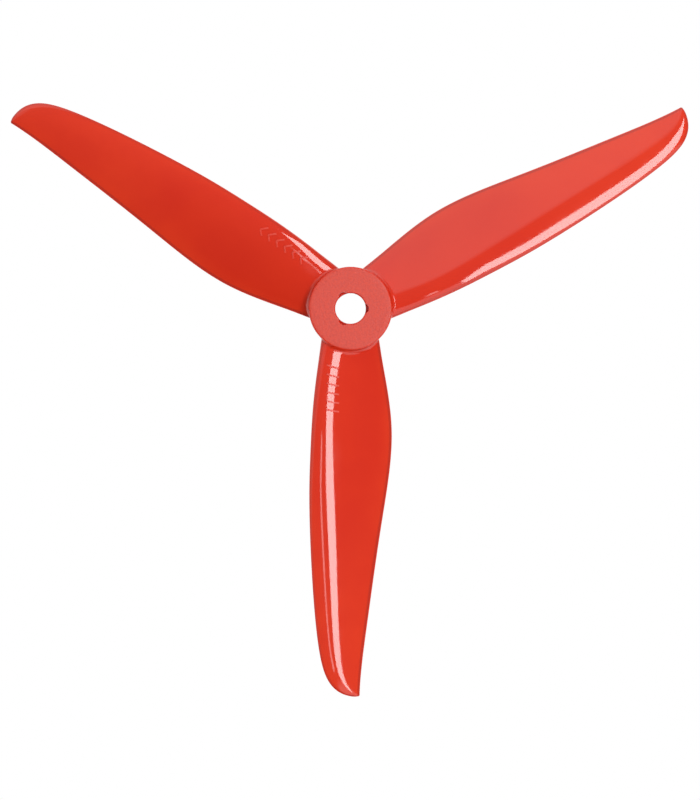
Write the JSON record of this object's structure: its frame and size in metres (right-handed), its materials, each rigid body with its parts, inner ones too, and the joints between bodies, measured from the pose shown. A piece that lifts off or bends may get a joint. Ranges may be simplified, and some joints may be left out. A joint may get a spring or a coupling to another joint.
{
  "type": "three-blade propeller",
  "caption": "Moulded plastic propeller for a small multirotor: twisted, cambered blades with swept-back tips around a round hub with a plain shaft bore and keying notches.",
  "frame": {"origin": "centre of the bore at the hub's underside, the face that sits on the motor", "axes": "+Z along the spin axis, out of the hub's top face; a blade lies 30 degrees anticlockwise of +X seen from above, and another along -Y"},
  "size_m": [0.1109, 0.0972, 0.007],
  "materials": {
    "hub_plastic": "satin, spark-eroded texture on the top face",
    "blade_plastic": "polished, slightly translucent"
  },
  "bodies": {
    "root": {"hub": "hub_plastic", "blade_1": "blade_plastic", "blade_2": "blade_plastic", "blade_3": "blade_plastic"}
  },
  "joints": []
}
